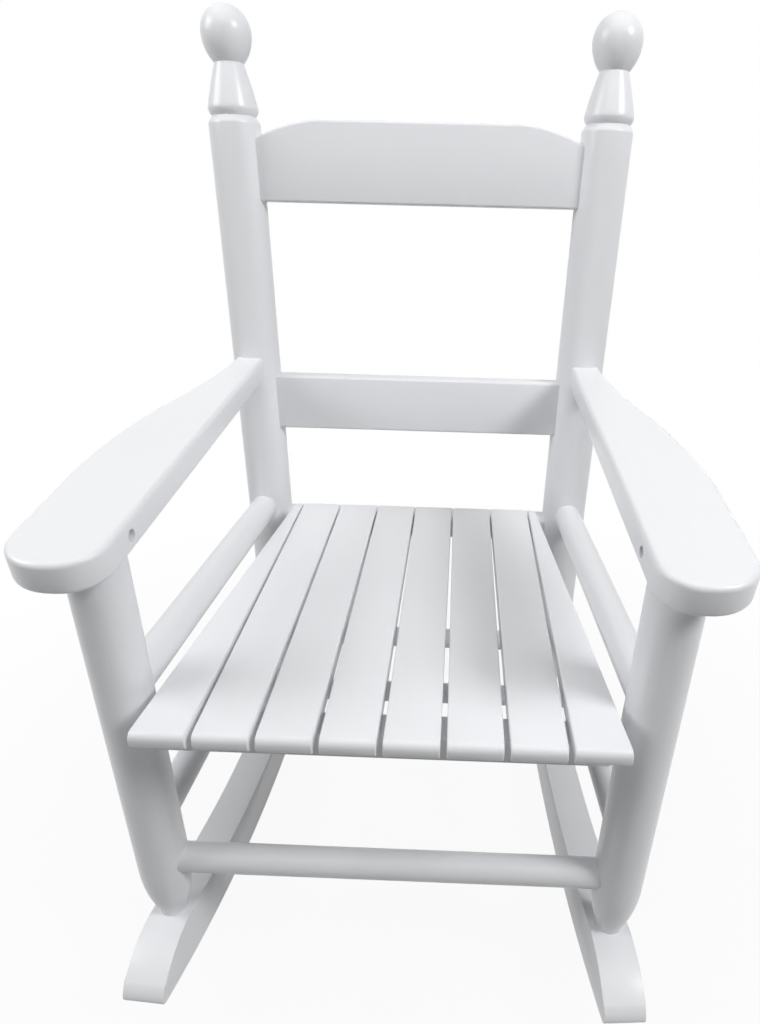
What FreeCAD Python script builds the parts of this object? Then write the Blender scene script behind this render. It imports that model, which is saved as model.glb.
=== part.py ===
"""Kids rocking chair: turned posts and rungs on two rockers, a slat seat, two back boards and paddle arms.

X points to the right as seen from the front, Y to the back and Z up. The origin is on the floor, under the
lowest point of the rockers, midway between them.
"""
import FreeCAD, Part
import math
import os
import Sketcher

# Driving sizes in millimetres, angles in degrees.
DIMENSIONS = {
    "seat_height": 256.0,
    "seat_overhang": 42.0,
    "seat_slope_angle": 2.2,
    "slat_rear_lap": 6.4,
    "slat_thickness": 11.0,
    "seat_front_clearance": 4.2,
    "seat_rear_clearance": 10.0,
    "slat_front_gap": 3.4,
    "slat_rear_gap": 1.2,
    "outer_slat_rear_width": 6.3,
    "outer_slat_corner_radius": 5.0,
    "slat_nose_radius": 4.5,
    "slat_edge_radius": 0.9,
    "rear_post_spacing": 271.0,
    "rear_post_setback": 105.5,
    "rear_post_rake_angle": 5.33,
    "rear_post_flare_angle": 0.81,
    "rear_post_diameter": 38.0,
    "front_post_spacing": 302.8,
    "front_post_lead": 165.0,
    "front_post_rake_angle": 3.42,
    "front_post_flare_angle": 0.76,
    "front_post_diameter": 32.0,
    "post_foot_diameter": 18.0,
    "post_foot_depth": 20.0,
    "post_foot_neck": 4.0,
    "post_foot_taper": 40.0,
    "finial_rise": 357.5,
    "ball_height": 36.2,
    "ball_diameter": 35.6,
    "neck_diameter": 21.0,
    "bell_diameter": 36.6,
    "bell_height": 28.6,
    "bell_edge_radius": 6.2,
    "groove_diameter": 31.5,
    "groove_height": 5.0,
    "collar_slope_height": 4.4,
    "rocker_radius": 620.0,
    "rocker_reach": 231.0,
    "rocker_depth": 36.0,
    "rocker_width": 27.0,
    "rocker_shoulder_setback": 56.0,
    "rocker_nose_height": 9.0,
    "rocker_nose_radius": 4.0,
    "rocker_edge_radius": 2.0,
    "arm_inner_margin": 5.6,
    "arm_inner_toe": 3.7,
    "arm_front": 200.5,
    "arm_cope_lap": 8.0,
    "arm_top_front": 354.0,
    "arm_slope_angle": 3.05,
    "arm_thickness": 18.0,
    "arm_front_width": 50.6,
    "arm_wide_width": 54.1,
    "arm_wide_setback": 92.0,
    "arm_waist_width": 36.8,
    "arm_waist_setback": 206.0,
    "arm_rear_width": 19.0,
    "arm_flare_radius": 380.0,
    "arm_waist_radius": 355.0,
    "arm_outer_corner_radius": 27.0,
    "arm_inner_corner_radius": 20.0,
    "arm_edge_radius": 4.0,
    "arm_socket_depth": 13.0,
    "arm_pin_diameter": 6.8,
    "arm_pin_length": 20.0,
    "arm_pin_recess": 7.0,
    "arm_pin_setback": 1.0,
    "arm_pin_height": 9.0,
    "arm_dowel_diameter": 7.0,
    "arm_dowel_length": 30.0,
    "board_thickness": 18.0,
    "board_edge_radius": 2.0,
    "board_socket_depth": 11.0,
    "crest_bottom_rise": 229.5,
    "crest_height": 56.0,
    "crest_end_height": 39.0,
    "crest_flat_length": 157.0,
    "crest_shoulder_radius": 150.0,
    "back_rail_bottom_rise": 52.0,
    "back_rail_height": 45.0,
    "side_rail_diameter": 22.0,
    "side_rail_front_drop": 10.0,
    "side_rail_rear_drop": 18.5,
    "side_stretcher_diameter": 20.0,
    "side_stretcher_front_drop": 113.0,
    "side_stretcher_rear_drop": 121.0,
    "cross_rung_diameter": 19.0,
    "front_seat_rung_drop": 32.0,
    "front_stretcher_drop": 143.5,
    "rear_stretcher_drop": 162.0,
    "centre_stretcher_diameter": 16.0,
    "rung_socket_depth": 10.0,
    "centre_socket_depth": 7.0,
    "batten_width": 18.0,
    "batten_height": 15.0,
    "batten_end_inset": 7.0,
    "batten_cope_depth": 1.6,
    "screw_diameter": 3.5,
    "screw_head_diameter": 7.0,
    "screw_head_height": 2.6,
    "slat_screw_length": 21.0,
    "rocker_screw_length": 48.0,
    "rocker_screw_recess": 4.0,
    "glue_gap": 0.1,
    "cut_overrun": 1.0,
}

SLAT_COUNT = 8

doc = FreeCAD.newDocument("rocking_chair")
sheet = doc.addObject("Spreadsheet::Sheet", "Dims")
for row, (alias, number) in enumerate(DIMENSIONS.items(), start=1):
    sheet.set("A%d" % row, alias)
    sheet.set("B%d" % row, str(number))
    sheet.setAlias("B%d" % row, alias)
doc.recompute()


class Size:
    """A length that carries both its number and the sheet expression that it comes from."""

    def __init__(self, number, text):
        self.number = number
        self.text = text

    def _with(self, sign, other, number, swapped=False):
        mine, theirs = self.text, other.text if isinstance(other, Size) else repr(float(other))
        first, second = (theirs, mine) if swapped else (mine, theirs)
        return Size(number, "(%s %s %s)" % (first, sign, second))

    def __float__(self):
        return self.number

    def __add__(self, other):
        return self._with("+", other, self.number + float(other))

    def __sub__(self, other):
        return self._with("-", other, self.number - float(other))

    def __rsub__(self, other):
        return self._with("-", other, float(other) - self.number, swapped=True)

    def __mul__(self, other):
        return self._with("*", other, self.number * float(other))

    def __truediv__(self, other):
        return self._with("/", other, self.number / float(other))

    def __neg__(self):
        return Size(-self.number, "(-%s)" % self.text)

    def root(self):
        """The square root of this size."""
        return Size(math.sqrt(self.number), "sqrt(%s)" % self.text)


ZERO = 0.0


def dim(alias):
    """The sheet cell of that name, as a Size."""
    return Size(float(getattr(sheet, alias)), "Dims." + alias)


def slope(alias):
    """The tangent of the angle in the sheet cell of that name."""
    return math.tan(math.radians(float(dim(alias))))


def bind(feature, prop, size):
    """Ties a property to the sheet, or sets it where the size is a worked out number."""
    if isinstance(size, Size):
        feature.setExpression(prop, size.text)
    else:
        setattr(feature, prop, size)


def vector(x, y, z):
    """A vector whose parts may be sizes."""
    return FreeCAD.Vector(float(x), float(y), float(z))


X_AXIS = vector(1, 0, 0)
Y_AXIS = vector(0, 1, 0)
Z_AXIS = vector(0, 0, 1)


class Line:
    """A straight axis through a point, with positive Z direction."""

    def __init__(self, point, direction):
        self.point = point
        self.direction = direction.normalize()

    def at_height(self, z):
        """The point of the axis at that height."""
        return self.point + self.direction * ((float(z) - self.point.z) / self.direction.z)


def cylinder(name, radius, length, start, direction):
    """A round bar from a start point along a direction."""
    bar = doc.addObject("Part::Cylinder", name)
    bind(bar, "Radius", radius)
    bind(bar, "Height", length)
    bar.Placement = FreeCAD.Placement(start, FreeCAD.Rotation(Z_AXIS, direction))
    return bar


def group(name, members):
    """A compound of separate solids."""
    together = doc.addObject("Part::Compound", name)
    together.Links = members
    return together


def cut(name, base, tools):
    """The base piece with the tools' room taken out of it."""
    piece = doc.addObject("Part::Cut", name)
    piece.Base = base
    piece.Tool = tools[0] if len(tools) == 1 else group(name + "_room", tools)
    return piece


def arc_middle(start, end, radius, side):
    """The middle point of an arc between two points, on the left (1) or right (-1) of the way there."""
    chord = end - start
    half = chord.Length / 2
    rise = radius - math.sqrt(radius * radius - half * half)
    left = FreeCAD.Vector(-chord.y, chord.x, 0).normalize()
    return (start + end) * 0.5 + left * (side * rise)


def outline(body, role, corners):
    """A closed sketch. A corner is (x, y), or (x, y, radius, side) where an arc leads on from it."""
    sketch = body.newObject("Sketcher::SketchObject", body.Name + "_outline")
    planes = [plane for plane in body.Origin.OriginFeatures if plane.Role == role]
    sketch.AttachmentSupport = [(planes[0], "")]
    sketch.MapMode = "FlatFace"
    places = [vector(corner[0], corner[1], ZERO) for corner in corners]
    ends = []
    for index, corner in enumerate(corners):
        start, end = places[index], places[(index + 1) % len(places)]
        if len(corner) == 2:
            edge = sketch.addGeometry(Part.LineSegment(start, end))
        else:
            middle = arc_middle(start, end, float(corner[2]), corner[3])
            edge = sketch.addGeometry(Part.Arc(start, middle, end))
        first_end, last_end = sketch.getPoint(edge, 1), sketch.getPoint(edge, 2)
        forward = first_end.distanceToPoint(start) < last_end.distanceToPoint(start)
        ends.append((edge, 1, 2) if forward else (edge, 2, 1))
    for index, corner in enumerate(corners):
        edge, first, last = ends[index]
        following, follow_first, _ = ends[(index + 1) % len(ends)]
        sketch.addConstraint(Sketcher.Constraint("Coincident", edge, last, following, follow_first))
        for kind, axis, size in (("DistanceX", -2, corner[0]), ("DistanceY", -1, corner[1])):
            if isinstance(size, Size):
                fixed = sketch.addConstraint(Sketcher.Constraint(kind, -1, 1, edge, first, float(size)))
                sketch.setExpression("Constraints[%d]" % fixed, size.text)
            else:
                sketch.addConstraint(Sketcher.Constraint("PointOnObject", edge, first, axis))
        if len(corner) > 2:
            fixed = sketch.addConstraint(Sketcher.Constraint("Radius", edge, float(corner[2])))
            sketch.setExpression("Constraints[%d]" % fixed, corner[2].text)
    return sketch


def padded(name, corners, thickness, symmetric=False):
    """A board of an outline in the XY plane. Returns the body and its pad."""
    body = doc.addObject("PartDesign::Body", name)
    pad = body.newObject("PartDesign::Pad", name + "_pad")
    pad.Profile = outline(body, "XY_Plane", corners)
    pad.SideType = "Symmetric" if symmetric else "One side"
    bind(pad, "Length", thickness)
    body.Tip = pad
    doc.recompute()
    return body, pad


def turned(name, corners):
    """A turned piece: a half outline in the XZ plane, revolved about Z."""
    body = doc.addObject("PartDesign::Body", name)
    sketch = outline(body, "XZ_Plane", corners)
    turning = body.newObject("PartDesign::Revolution", name + "_turning")
    turning.Profile = sketch
    turning.ReferenceAxis = (sketch, ["V_Axis"])
    body.Tip = turning
    doc.recompute()
    return body


def eased(body, base, name, radius, chosen):
    """Rounds the edges of the base feature that the test chooses, and returns the new feature."""
    edges = ["Edge%d" % (index + 1) for index, edge in enumerate(base.Shape.Edges) if chosen(edge)]
    fillet = body.newObject("PartDesign::Fillet", name)
    fillet.Base = (base, edges)
    bind(fillet, "Radius", radius)
    body.Tip = fillet
    doc.recompute()
    return fillet


def is_upright(edge):
    """True for a straight edge along the thickness of a board."""
    start, end = edge.Vertexes[0].Point, edge.Vertexes[-1].Point
    flat = math.hypot(end.x - start.x, end.y - start.y)
    return flat < abs(end.z - start.z) * 0.01


def middle_of(edge):
    """The middle of an edge's bounding box."""
    return edge.BoundBox.Center


def named(feature, label):
    """Gives a feature the name of its node and keeps it for the export."""
    feature.Label = label
    nodes.append(feature)
    return feature


def mirrored(source, label):
    """The same piece on the other side of the chair."""
    twin = doc.addObject("Part::Mirroring", label)
    twin.Source = source
    twin.Normal = X_AXIS
    return named(twin, label)


nodes = []

# Post axes, and the planes of the seat and the arms
rear_axis = Line(
    vector(dim("rear_post_spacing") / 2, dim("rear_post_setback"), dim("seat_height")),
    vector(slope("rear_post_flare_angle"), slope("rear_post_rake_angle"), 1),
)
front_axis = Line(
    vector(dim("front_post_spacing") / 2, -dim("front_post_lead"), dim("seat_height")),
    vector(slope("front_post_flare_angle"), slope("front_post_rake_angle"), 1),
)
rear_radius = dim("rear_post_diameter") / 2
front_radius = dim("front_post_diameter") / 2
seat_turn = FreeCAD.Rotation(X_AXIS, -float(dim("seat_slope_angle")))
seat_up = seat_turn.multVec(Z_AXIS)
seat_back = seat_turn.multVec(Y_AXIS)
seat_front = dim("front_post_lead") + dim("seat_overhang")
seat_edge = vector(ZERO, -seat_front, dim("seat_height"))
slat_underside = seat_edge - seat_up * float(dim("slat_thickness"))
arm_turn = FreeCAD.Rotation(X_AXIS, float(dim("arm_slope_angle")))
arm_up = arm_turn.multVec(Z_AXIS)
arm_mid_front = dim("arm_top_front") - dim("arm_thickness") / 2
arm_inner = front_axis.at_height(arm_mid_front).x - float(front_radius + dim("arm_inner_margin"))
arm_base = vector(arm_inner, -dim("arm_front"), dim("arm_top_front")) - arm_up * float(dim("arm_thickness"))


def mirror_x(point):
    """The point on the other side of the chair."""
    return FreeCAD.Vector(-point.x, point.y, point.z)


def rocker_top(reach):
    """The height of a rocker's upper side at that distance from its lowest point."""
    inner = float(dim("rocker_radius") - dim("rocker_depth"))
    return float(dim("rocker_radius")) - math.sqrt(inner * inner - reach * reach)


def foot_point(axis):
    """The point where a post axis meets the upper side of the rocker."""
    point = axis.at_height(dim("rocker_depth"))
    for _ in range(8):
        point = axis.at_height(rocker_top(point.y))
    return point


rear_foot = foot_point(rear_axis)
front_foot = foot_point(front_axis)
rocker_splay = math.atan2(front_foot.x - rear_foot.x, rear_foot.y - front_foot.y)
rocker_offset = rear_foot.x + math.tan(rocker_splay) * rear_foot.y


# Rungs and the room that each takes in the posts
def rung(label, start, end, diameter, start_inset, end_inset):
    """A round rung between two axis points, and its socket, which has room for glue."""
    way = (end - start).normalize()
    first = start + way * float(start_inset)
    last = end - way * float(end_inset)
    length = (last - first).Length
    bar = named(cylinder(label, diameter / 2, length, first, way), label)
    socket = cylinder(label + "_socket", diameter / 2 + dim("glue_gap"), length, first, way)
    return bar, socket


seat_height = dim("seat_height")
rear_inset = rear_radius - dim("rung_socket_depth")
front_inset = front_radius - dim("rung_socket_depth")
cross_diameter = dim("cross_rung_diameter")

side_rail, side_rail_socket = rung(
    "side_rail_right",
    front_axis.at_height(seat_height - dim("side_rail_front_drop")),
    rear_axis.at_height(seat_height - dim("side_rail_rear_drop")),
    dim("side_rail_diameter"), front_inset, rear_inset,
)
stretcher_front = front_axis.at_height(seat_height - dim("side_stretcher_front_drop"))
stretcher_rear = rear_axis.at_height(seat_height - dim("side_stretcher_rear_drop"))
side_stretcher_bar = cylinder(
    "side_stretcher_bar", dim("side_stretcher_diameter") / 2,
    (stretcher_rear - stretcher_front).Length - float(front_inset) - float(rear_inset),
    stretcher_front + (stretcher_rear - stretcher_front).normalize() * float(front_inset),
    stretcher_rear - stretcher_front,
)
side_stretcher_socket = cylinder(
    "side_stretcher_socket", dim("side_stretcher_diameter") / 2 + dim("glue_gap"),
    (stretcher_rear - stretcher_front).Length - float(front_inset) - float(rear_inset),
    stretcher_front + (stretcher_rear - stretcher_front).normalize() * float(front_inset),
    stretcher_rear - stretcher_front,
)


def cross_rung(label, axis, drop, inset):
    """A rung between the left and right post at that drop below the seat's front edge."""
    end = axis.at_height(seat_height - drop)
    return rung(label, mirror_x(end), end, cross_diameter, inset, inset)


front_seat_rung, front_seat_socket = cross_rung(
    "front_seat_rung", front_axis, dim("front_seat_rung_drop"), front_inset)
front_stretcher, front_stretcher_socket = cross_rung(
    "front_stretcher", front_axis, dim("front_stretcher_drop"), front_inset)
rear_stretcher, rear_stretcher_socket = cross_rung(
    "rear_stretcher", rear_axis, dim("rear_stretcher_drop"), rear_inset)

# The top of the rear seat rung is level with the underside of the slats.
underside_fall = slope("seat_slope_angle") * float(dim("rear_post_setback") + seat_front)
rear_seat_drop = float(dim("slat_thickness")) + underside_fall + float(cross_diameter) / 2
rear_seat_rung, rear_seat_socket = cross_rung("rear_seat_rung", rear_axis, rear_seat_drop, rear_inset)

# The thin rung between the two side stretchers, at their middle
stretcher_middle = (stretcher_front + stretcher_rear) * 0.5
centre_inset = dim("side_stretcher_diameter") / 2 - dim("centre_socket_depth")
centre_stretcher, centre_socket = rung(
    "centre_stretcher", mirror_x(stretcher_middle), stretcher_middle,
    dim("centre_stretcher_diameter"), centre_inset, centre_inset,
)
side_stretcher = named(
    cut("side_stretcher_right", side_stretcher_bar, [centre_socket]), "side_stretcher_right")
mirrored(side_rail, "side_rail_left")
mirrored(side_stretcher, "side_stretcher_left")

# Back boards
back_turn = FreeCAD.Rotation(X_AXIS, 90 - float(dim("rear_post_rake_angle")))


def board_length(low, high):
    """The length of a back board that reaches into both rear posts over a range of heights."""
    width = rear_axis.at_height((float(low) + float(high)) / 2).x * 2
    return width - 2 * float(rear_radius) + 2 * float(dim("board_socket_depth"))


def back_board(label, corners, length, bottom):
    """A board between the rear posts, leaning with them."""
    body, pad = padded(label, corners, dim("board_thickness"), symmetric=True)
    half_thick = float(dim("board_thickness")) / 2

    def on_face_top(edge):
        return not is_upright(edge) and abs(abs(middle_of(edge).z) - half_thick) < half_thick * 0.01 \
            and edge.BoundBox.XLength > edge.BoundBox.YLength

    eased(body, pad, label + "_ease", dim("board_edge_radius"), on_face_top)
    foot = rear_axis.at_height(bottom)
    body.Placement = FreeCAD.Placement(vector(-length / 2, foot.y, foot.z), back_turn)
    return named(body, label)


crest_bottom = seat_height + dim("crest_bottom_rise")
crest_length = board_length(crest_bottom, crest_bottom + dim("crest_height"))
crest_span = Size(crest_length, repr(crest_length))
shoulder = dim("crest_shoulder_radius")
crest_flat_start = (crest_span - dim("crest_flat_length")) / 2
crest_rail = back_board(
    "crest_rail",
    [
        (ZERO, ZERO),
        (crest_span, ZERO),
        (crest_span, dim("crest_end_height"), shoulder, -1),
        (crest_flat_start + dim("crest_flat_length"), dim("crest_height")),
        (crest_flat_start, dim("crest_height"), shoulder, -1),
        (ZERO, dim("crest_end_height")),
    ],
    crest_length, crest_bottom,
)
back_rail_bottom = seat_height + dim("back_rail_bottom_rise")
back_rail_length = board_length(back_rail_bottom, back_rail_bottom + dim("back_rail_height"))
back_rail_span = Size(back_rail_length, repr(back_rail_length))
back_rail = back_board(
    "back_rail",
    [
        (ZERO, ZERO),
        (back_rail_span, ZERO),
        (back_rail_span, dim("back_rail_height")),
        (ZERO, dim("back_rail_height")),
    ],
    back_rail_length, back_rail_bottom,
)

# Rockers: an arc band whose upper side bends down to a blunt nose at each tip, splayed in plan so that it
# passes under both posts
reach = dim("rocker_reach")
sole_radius = dim("rocker_radius")
top_radius = sole_radius - dim("rocker_depth")
sole_fall = (sole_radius * sole_radius - reach * reach).root()
nose_span = sole_radius - dim("rocker_nose_height")
nose_reach = reach * nose_span / sole_radius
nose_height = sole_radius - sole_fall * nose_span / sole_radius
shoulder_reach = reach - dim("rocker_shoulder_setback")
shoulder_fall = (top_radius * top_radius - shoulder_reach * shoulder_reach).root()

# The radius at which the tip's bend leaves the upper side smoothly and ends at the nose
nose_along = (shoulder_reach * reach + shoulder_fall * sole_fall) * nose_span / (top_radius * sole_radius)
tip_span = nose_span * nose_span - top_radius * nose_along * 2 + top_radius * top_radius
tip_radius = tip_span / ((nose_along - top_radius) * 2)
rocker_body, rocker_pad = padded(
    "rocker",
    [
        (-reach, sole_radius - sole_fall, sole_radius, -1),
        (reach, sole_radius - sole_fall),
        (nose_reach, nose_height, tip_radius, -1),
        (shoulder_reach, sole_radius - shoulder_fall, top_radius, 1),
        (-shoulder_reach, sole_radius - shoulder_fall, tip_radius, -1),
        (-nose_reach, nose_height),
    ],
    dim("rocker_width"), symmetric=True,
)
shoulder_limit = float(shoulder_reach + nose_reach) / 2


def is_nose_corner(edge):
    return is_upright(edge) and abs(middle_of(edge).x) > shoulder_limit


def is_side_edge(edge):
    return not is_upright(edge)


rocker_rounded = eased(rocker_body, rocker_pad, "rocker_noses", dim("rocker_nose_radius"), is_nose_corner)
eased(rocker_body, rocker_rounded, "rocker_ease", dim("rocker_edge_radius"), is_side_edge)
upright_turn = FreeCAD.Rotation(vector(1, 1, 1), 120)
rocker_turn = FreeCAD.Rotation(Z_AXIS, math.degrees(rocker_splay)).multiply(upright_turn)
rocker_body.Placement = FreeCAD.Placement(vector(rocker_offset, ZERO, ZERO), rocker_turn)

# Turned posts
foot_radius = dim("post_foot_diameter") / 2
foot_depth = dim("post_foot_depth")
foot_neck = foot_depth + dim("post_foot_neck")
foot_shoulder = foot_neck + dim("post_foot_taper")


def foot_outline(radius):
    """The bullet foot of a post: the end in the rocker, then a swell that ends upright."""
    swell = radius - foot_radius
    taper = dim("post_foot_taper")
    curve = (swell * swell + taper * taper) / (swell * 2)
    return [(ZERO, ZERO), (foot_radius, ZERO), (foot_radius, foot_neck, curve, -1), (radius, foot_shoulder)]


def stand(body, axis, foot):
    """Stands a turned post in its rocker along its axis."""
    start = foot - axis.direction * float(foot_depth)
    body.Placement = FreeCAD.Placement(start, FreeCAD.Rotation(Z_AXIS, axis.direction))
    return start


rear_base = rear_foot - rear_axis.direction * float(foot_depth)
seat_station = (rear_axis.point - rear_base).Length
rear_top = dim("finial_rise") + seat_station
ball_base = rear_top - dim("ball_height")
bell_base = ball_base - dim("bell_height")
groove_base = bell_base - dim("groove_height")
neck_radius = dim("neck_diameter") / 2

# The ball is round above its widest place and drawn out like an egg below it.
ball_radius = dim("ball_diameter") / 2
ball_drop = dim("ball_height") - ball_radius
ball_swell = ball_radius - neck_radius
ball_taper = (ball_swell * ball_swell + ball_drop * ball_drop) / (ball_swell * 2)
rear_blank = turned(
    "rear_post_blank",
    foot_outline(rear_radius) + [
        (rear_radius, groove_base - dim("collar_slope_height")),
        (dim("groove_diameter") / 2, groove_base, dim("bell_edge_radius"), -1),
        (dim("bell_diameter") / 2, bell_base),
        (neck_radius, ball_base, ball_taper, -1),
        (ball_radius, rear_top - ball_radius, ball_radius, -1),
        (ZERO, rear_top),
    ],
)
stand(rear_blank, rear_axis, rear_foot)

# The front post ends in a blind socket under the arm.
front_base = front_foot - front_axis.direction * float(foot_depth)
socket_height = (arm_base - front_base).dot(arm_up) / front_axis.direction.dot(arm_up)
front_top = dim("arm_socket_depth") + socket_height
front_blank = turned(
    "front_post_blank", foot_outline(front_radius) + [(front_radius, front_top), (ZERO, front_top)])
stand(front_blank, front_axis, front_foot)

# Arms: a paddle outline that reaches round the front of the rear post and is coped to it
arm_rise = slope("arm_slope_angle")
rear_lean = slope("rear_post_rake_angle")
arm_climb = arm_mid_front + dim("arm_front") * arm_rise - seat_height
arm_meets = (dim("rear_post_setback") + arm_climb * rear_lean) / (1 - arm_rise * rear_lean)
arm_run = arm_meets + dim("arm_front") - rear_radius + dim("arm_cope_lap")
arm_length = arm_run / math.cos(math.radians(float(dim("arm_slope_angle"))))
arm_wide = dim("arm_wide_setback")
arm_body, arm_pad = padded(
    "arm",
    [
        (ZERO, ZERO),
        (dim("arm_front_width"), ZERO),
        (dim("arm_wide_width"), arm_wide, dim("arm_flare_radius"), -1),
        (dim("arm_waist_width"), dim("arm_waist_setback"), dim("arm_waist_radius"), 1),
        (dim("arm_rear_width"), arm_length),
        (-dim("arm_inner_toe"), arm_length),
    ],
    dim("arm_thickness"),
)
arm_half_width = float(dim("arm_front_width")) / 2


def is_outer_front(edge):
    return is_upright(edge) and middle_of(edge).y < arm_half_width and middle_of(edge).x > arm_half_width


def is_inner_front(edge):
    return is_upright(edge) and middle_of(edge).y < arm_half_width and middle_of(edge).x < arm_half_width


def is_arm_rim(edge):
    away_from_post = middle_of(edge).y < float(arm_length) - float(dim("arm_thickness"))
    return edge.BoundBox.ZLength < float(dim("arm_edge_radius")) and away_from_post


arm_rounded = eased(arm_body, arm_pad, "arm_outer_corner", dim("arm_outer_corner_radius"), is_outer_front)
arm_rounded = eased(
    arm_body, arm_rounded, "arm_inner_corner", dim("arm_inner_corner_radius"), is_inner_front)
eased(arm_body, arm_rounded, "arm_ease", dim("arm_edge_radius"), is_arm_rim)
arm_body.Placement = FreeCAD.Placement(arm_base, arm_turn)

# Room for the posts in the arms: a blind socket in front and a cope at the rear
glue_gap = dim("glue_gap")
arm_socket = cylinder("arm_socket", front_radius + glue_gap, front_top, front_base, front_axis.direction)
arm_cope = cylinder(
    "arm_cope", rear_radius + glue_gap, groove_base, rear_base, rear_axis.direction)

# A dowel along the arm into the rear post, and a pin across the front post's end
arm_back = arm_turn.multVec(Y_AXIS)
arm_middle_height = arm_base + arm_up * (float(dim("arm_thickness")) / 2)
cope_point = rear_axis.at_height(
    (arm_middle_height + arm_back * float(arm_length)).z)
dowel_centre = cope_point - arm_back * float(rear_radius)
dowel_start = dowel_centre - arm_back * (float(dim("arm_dowel_length")) / 2)
dowel_radius = dim("arm_dowel_diameter") / 2
arm_dowel = cylinder("arm_dowel", dowel_radius, dim("arm_dowel_length"), dowel_start, arm_back)
dowel_hole = cylinder(
    "arm_dowel_hole", dowel_radius + glue_gap, dim("arm_dowel_length"), dowel_start, arm_back)
pin_level = arm_base + arm_up * float(dim("arm_pin_height"))
pin_point = front_axis.at_height((pin_level + arm_back * float(dim("arm_front") - dim("front_post_lead"))).z)
pin_face = vector(arm_inner, dim("arm_pin_setback") + pin_point.y, pin_point.z)
pin_start = pin_face + X_AXIS * float(dim("arm_pin_recess"))
pin_radius = dim("arm_pin_diameter") / 2
arm_pin = cylinder("arm_pin", pin_radius - glue_gap, dim("arm_pin_length"), pin_start, X_AXIS)
overrun = dim("cut_overrun")
pin_hole = cylinder(
    "arm_pin_hole", pin_radius,
    dim("arm_pin_length") + dim("arm_pin_recess") + overrun, pin_face - X_AXIS * float(overrun), X_AXIS,
)


# Screws
def screw(name, tip, way, length):
    """A countersunk screw that ends at its tip. The way leads from head to tip."""
    head_height = float(dim("screw_head_height"))
    start = tip - way * float(length)
    shank = cylinder(
        name + "_shank", dim("screw_diameter") / 2, length - head_height, start + way * head_height, way)
    head = doc.addObject("Part::Cone", name + "_head")
    bind(head, "Radius1", dim("screw_head_diameter") / 2)
    bind(head, "Radius2", dim("screw_diameter") / 2)
    bind(head, "Height", dim("screw_head_height"))
    head.Placement = FreeCAD.Placement(start, FreeCAD.Rotation(Z_AXIS, way))
    whole = doc.addObject("Part::Fuse", name)
    whole.Base = head
    whole.Tool = shank
    return whole


def rocker_screw(name, axis, foot):
    """A screw from the rocker's sole into a post foot, and the counterbore below its head."""
    bed = axis.direction * (float(dim("rocker_depth")) - float(dim("rocker_screw_recess")))
    start = foot - bed
    fastener = screw(
        name, start + axis.direction * float(dim("rocker_screw_length")), axis.direction,
        float(dim("rocker_screw_length")))
    bore = cylinder(
        name + "_bore", dim("screw_head_diameter") / 2, dim("rocker_depth"),
        start - axis.direction * float(dim("rocker_depth")), axis.direction)
    return fastener, bore


rear_screw, rear_bore = rocker_screw("rear_rocker_screw", rear_axis, rear_foot)
front_screw, front_bore = rocker_screw("front_rocker_screw", front_axis, front_foot)

# The right hand pieces with the room for what enters them, and their twins
rear_sockets = [side_rail_socket, side_stretcher_socket, rear_seat_socket, rear_stretcher_socket]
rear_post = named(
    cut("rear_post_right", rear_blank, rear_sockets + [crest_rail, back_rail, dowel_hole, rear_screw]),
    "rear_post_right")
front_sockets = [side_rail_socket, side_stretcher_socket, front_seat_socket, front_stretcher_socket]
front_post = named(
    cut("front_post_right", front_blank, front_sockets + [pin_hole, front_screw]), "front_post_right")
arm = named(
    cut("arm_right", arm_body, [arm_socket, arm_cope, dowel_hole, pin_hole]), "arm_right")
rear_foot_room = cylinder(
    "rear_foot_room", foot_radius + glue_gap, foot_shoulder, rear_base, rear_axis.direction)
front_foot_room = cylinder(
    "front_foot_room", foot_radius + glue_gap, foot_shoulder, front_base, front_axis.direction)
rocker = named(
    cut("rocker_right", rocker_body,
        [rear_foot_room, front_foot_room, rear_screw, front_screw, rear_bore, front_bore]),
    "rocker_right")
for source, label in (
    (rear_post, "rear_post_left"), (front_post, "front_post_left"),
    (arm, "arm_left"), (rocker, "rocker_left"),
):
    mirrored(source, label)


def pair(label, members):
    """A node that holds the right hand pieces and their twins."""
    twins = []
    for member in members:
        twin = doc.addObject("Part::Mirroring", member.Name + "_twin")
        twin.Source = member
        twin.Normal = X_AXIS
        twins.append(twin)
    return named(group(label, members + twins), label)


pair("arm_dowels", [arm_dowel])
pair("arm_pins", [arm_pin])
pair("rocker_screws", [rear_screw, front_screw])

# Seat: slats on two battens that hook the seat in front of its rungs, with room between the posts. The gaps
# between the slats narrow to the rear.
slat_thickness = dim("slat_thickness")
seat_half_front = dim("front_post_spacing") / 2 - front_radius - dim("seat_front_clearance")
seat_half_rear = dim("rear_post_spacing") / 2 - rear_radius - dim("seat_rear_clearance")
outer_slat_start = seat_half_rear - dim("outer_slat_rear_width") - dim("slat_rear_gap") / 2
outer_front_width = seat_half_front - outer_slat_start - dim("slat_front_gap") / 2
slat_pitch = outer_slat_start / (SLAT_COUNT / 2 - 1)
slat_front_half = (slat_pitch - dim("slat_front_gap")) / 2
slat_rear_half = (slat_pitch - dim("slat_rear_gap")) / 2
batten_length = seat_half_front * 2 - dim("batten_end_inset") * 2
cross_radius = float(cross_diameter) / 2
front_rung_axis = front_axis.at_height(seat_height - dim("front_seat_rung_drop"))
rear_rung_axis = rear_axis.at_height(float(seat_height) - rear_seat_drop)


def seat_station_of(point):
    """How far back along the seat a point lies."""
    return (point - seat_edge).dot(seat_back)


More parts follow.
